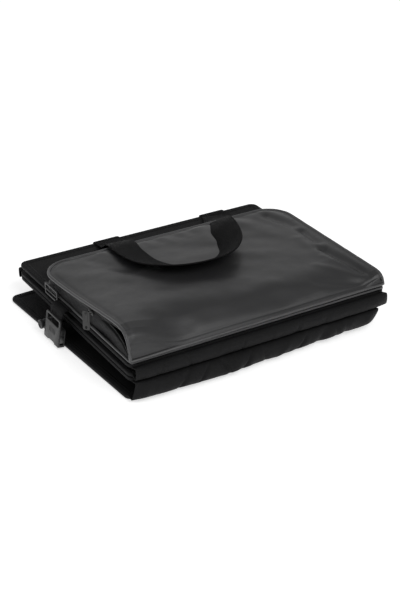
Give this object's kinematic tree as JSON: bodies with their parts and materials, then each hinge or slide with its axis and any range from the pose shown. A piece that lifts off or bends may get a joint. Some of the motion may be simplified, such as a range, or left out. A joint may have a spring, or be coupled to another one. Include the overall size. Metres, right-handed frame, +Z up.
{
  "type": "folding brochure rack",
  "caption": "Soft folding brochure rack, packed flat: hinged pocket panels with a zip pouch, carrying handle, side strap and stored telescopic pole.",
  "frame": {"origin": "centre of the flat underside that the folded pack rests on", "axes": "+X along the long side, +Y towards the handle edge, +Z up through the folded stack"},
  "size_m": [0.393, 0.3388, 0.0996],
  "materials": {
    "stiff_board": "plain",
    "black_nylon": "coated woven",
    "binding_tape": "woven",
    "pocket_nylon": "woven",
    "leatherette": "satin",
    "piping_leatherette": "satin",
    "zip_black": "satin",
    "webbing": "ribbed",
    "elastic": "ribbed",
    "buckle_plastic": "moulded",
    "pole_tube": "anodised",
    "cap_plastic": "moulded"
  },
  "bodies": {
    "base": {"base_board": "stiff_board", "base_cover": "black_nylon", "base_binding": "binding_tape", "pole_loops": "elastic", "hinge_lower": "black_nylon"},
    "second_panel": {"second_board": "stiff_board", "second_cover": "black_nylon", "second_binding": "binding_tape", "second_letter_pocket": "pocket_nylon", "second_leaflet_pocket": "pocket_nylon", "hinge_middle": "black_nylon"},
    "third_panel": {"third_board": "stiff_board", "third_cover": "black_nylon", "third_binding": "binding_tape", "third_letter_pocket": "pocket_nylon", "third_leaflet_pocket": "pocket_nylon", "hinge_upper": "black_nylon"},
    "top_panel": {"top_board": "stiff_board", "top_cover": "black_nylon", "top_binding": "binding_tape", "top_letter_pocket": "pocket_nylon", "top_leaflet_pocket": "pocket_nylon", "pouch_gusset": "leatherette", "pouch_lower_piping": "piping_leatherette", "zip_lower_row": "zip_black", "handle_tabs": "webbing", "strap_anchor": "webbing", "strap_adjuster": "buckle_plastic"},
    "lid": {"pouch_lid": "leatherette", "pouch_lid_piping": "piping_leatherette", "zip_upper_row": "zip_black"},
    "slider": {"zip_slider": "zip_black"},
    "pull": {"zip_pull": "zip_black"},
    "handle": {"handle_strap": "webbing"},
    "buckle_strap": {"side_strap": "webbing", "buckle_socket": "buckle_plastic"},
    "closing_strap": {"closing_strap": "webbing", "buckle_plug": "buckle_plastic"},
    "pole": {"pole_outer_tube": "pole_tube", "pole_end_cap": "cap_plastic"},
    "pole_middle": {"pole_middle_tube": "pole_tube"},
    "pole_inner": {"pole_inner_tube": "pole_tube", "pole_top_plug": "cap_plastic"}
  },
  "joints": [
    {"name": "fold_lower", "type": "hinge", "parent": "base", "child": "second_panel", "pos_m": [0, -0.161, 0.0143], "axis": [1, 0, 0], "range_deg": [0, 180]},
    {"name": "fold_middle", "type": "hinge", "parent": "second_panel", "child": "third_panel", "pos_m": [0, 0.161, 0.02885], "axis": [-1, 0, 0], "range_deg": [0, 180]},
    {"name": "fold_upper", "type": "hinge", "parent": "third_panel", "child": "top_panel", "pos_m": [0, -0.161, 0.03785], "axis": [1, 0, 0], "range_deg": [0, 180]},
    {"name": "lid_open", "type": "hinge", "parent": "top_panel", "child": "lid", "pos_m": [0, -0.153, 0.0496], "axis": [1, 0, 0], "range_deg": [0, 90], "deforming": ["handle_strap"]},
    {"name": "zip_slide", "type": "slide", "parent": "top_panel", "child": "slider", "axis": [0, 0.997, -0.0771], "range_m": [-0.076, 0.045]},
    {"name": "pull_swing", "type": "hinge", "parent": "slider", "child": "pull", "pos_m": [-0.1862, -0.051, 0.06791], "axis": [0, 1, 0], "range_deg": [0, 100]},
    {"name": "handle_swing", "type": "hinge", "parent": "top_panel", "child": "handle", "pos_m": [0, 0.15, 0.0516], "axis": [-1, 0, 0], "range_deg": [0, 150]},
    {"name": "strap_swing", "type": "hinge", "parent": "top_panel", "child": "buckle_strap", "pos_m": [-0.1863, 0.015, 0.0472], "axis": [0, 1, 0], "range_deg": [0, 100]},
    {"name": "closing_strap_pull", "type": "slide", "parent": "base", "child": "closing_strap", "axis": [-1, 0, 0], "range_m": [0, 0.14]},
    {"name": "pole_slide", "type": "slide", "parent": "base", "child": "pole", "axis": [-1, 0, 0], "range_m": [0, 0.33]},
    {"name": "pole_extend_middle", "type": "slide", "parent": "pole", "child": "pole_middle", "axis": [1, 0, 0], "range_m": [0, 0.29]},
    {"name": "pole_extend_inner", "type": "slide", "parent": "pole_middle", "child": "pole_inner", "axis": [1, 0, 0], "range_m": [0, 0.29]}
  ],
  "couplings": [
    {"joint": "fold_middle", "follows": "fold_lower", "ratio": 1},
    {"joint": "fold_upper", "follows": "fold_lower", "ratio": 1}
  ]
}
